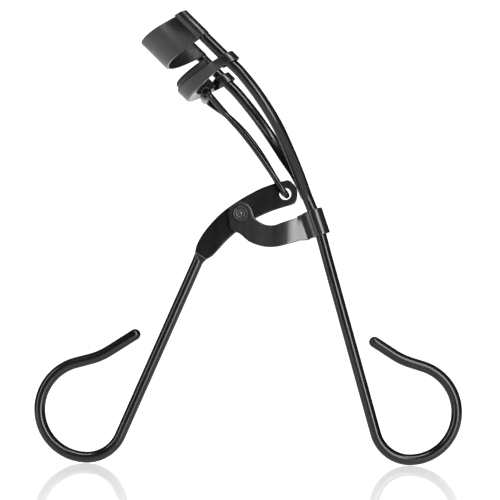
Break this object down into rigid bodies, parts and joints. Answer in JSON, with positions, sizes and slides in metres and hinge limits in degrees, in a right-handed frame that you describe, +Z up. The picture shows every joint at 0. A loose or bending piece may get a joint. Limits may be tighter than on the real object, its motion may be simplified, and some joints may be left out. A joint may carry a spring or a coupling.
{
  "type": "eyelash curler",
  "caption": "Scissor-action eyelash curler bent from black-coated steel wire, with open finger loops, a curved upper jaw and a sliding lower jaw that carries a silicone pad.",
  "frame": {"origin": "middle of the bounding box, on the surface that the two finger loops stand on", "axes": "+Z up from the finger loops to the jaws; X across the two handles, with the fixed handle at +X and the lever at -X; -Y is the side of the pivot bracket"},
  "size_m": [0.099, 0.0318, 0.1033],
  "materials": {
    "coated_wire": "glossy black coating on bent steel wire",
    "coated_sheet": "satin black coating on pressed steel sheet",
    "rivet_metal": "glossy black coating on a turned steel rivet",
    "silicone": "smooth black silicone"
  },
  "bodies": {
    "frame": {"fixed_handle": "coated_wire", "far_guide_rod": "coated_wire", "upper_jaw": "coated_sheet", "pivot_bracket": "coated_sheet", "pivot_rivet": "rivet_metal"},
    "lever": {"lever_handle": "coated_wire"},
    "lower_jaw": {"lower_jaw": "coated_sheet", "silicone_pad": "silicone"},
    "link": {"hairpin_link": "coated_wire"}
  },
  "joints": [
    {"name": "lever_pivot", "type": "hinge", "parent": "frame", "child": "lever", "pos_m": [-0.0031, 0, 0.0578], "axis": [0, -1, 0], "range_deg": [0, 21.8]},
    {"name": "jaw_slide", "type": "slide", "parent": "frame", "child": "lower_jaw", "axis": [-0.7193, 0, 0.6947], "range_m": [0, 0.0044]},
    {"name": "link_hinge", "type": "hinge", "parent": "lower_jaw", "child": "link", "pos_m": [-0.0114, 0, 0.08553], "axis": [0, -1, 0], "range_deg": [0, 3]}
  ],
  "couplings": [
    {"joint": "jaw_slide", "follows": "lever_pivot", "m_per_rad": 0.0114},
    {"joint": "link_hinge", "follows": "lever_pivot", "ratio": 0.08}
  ]
}
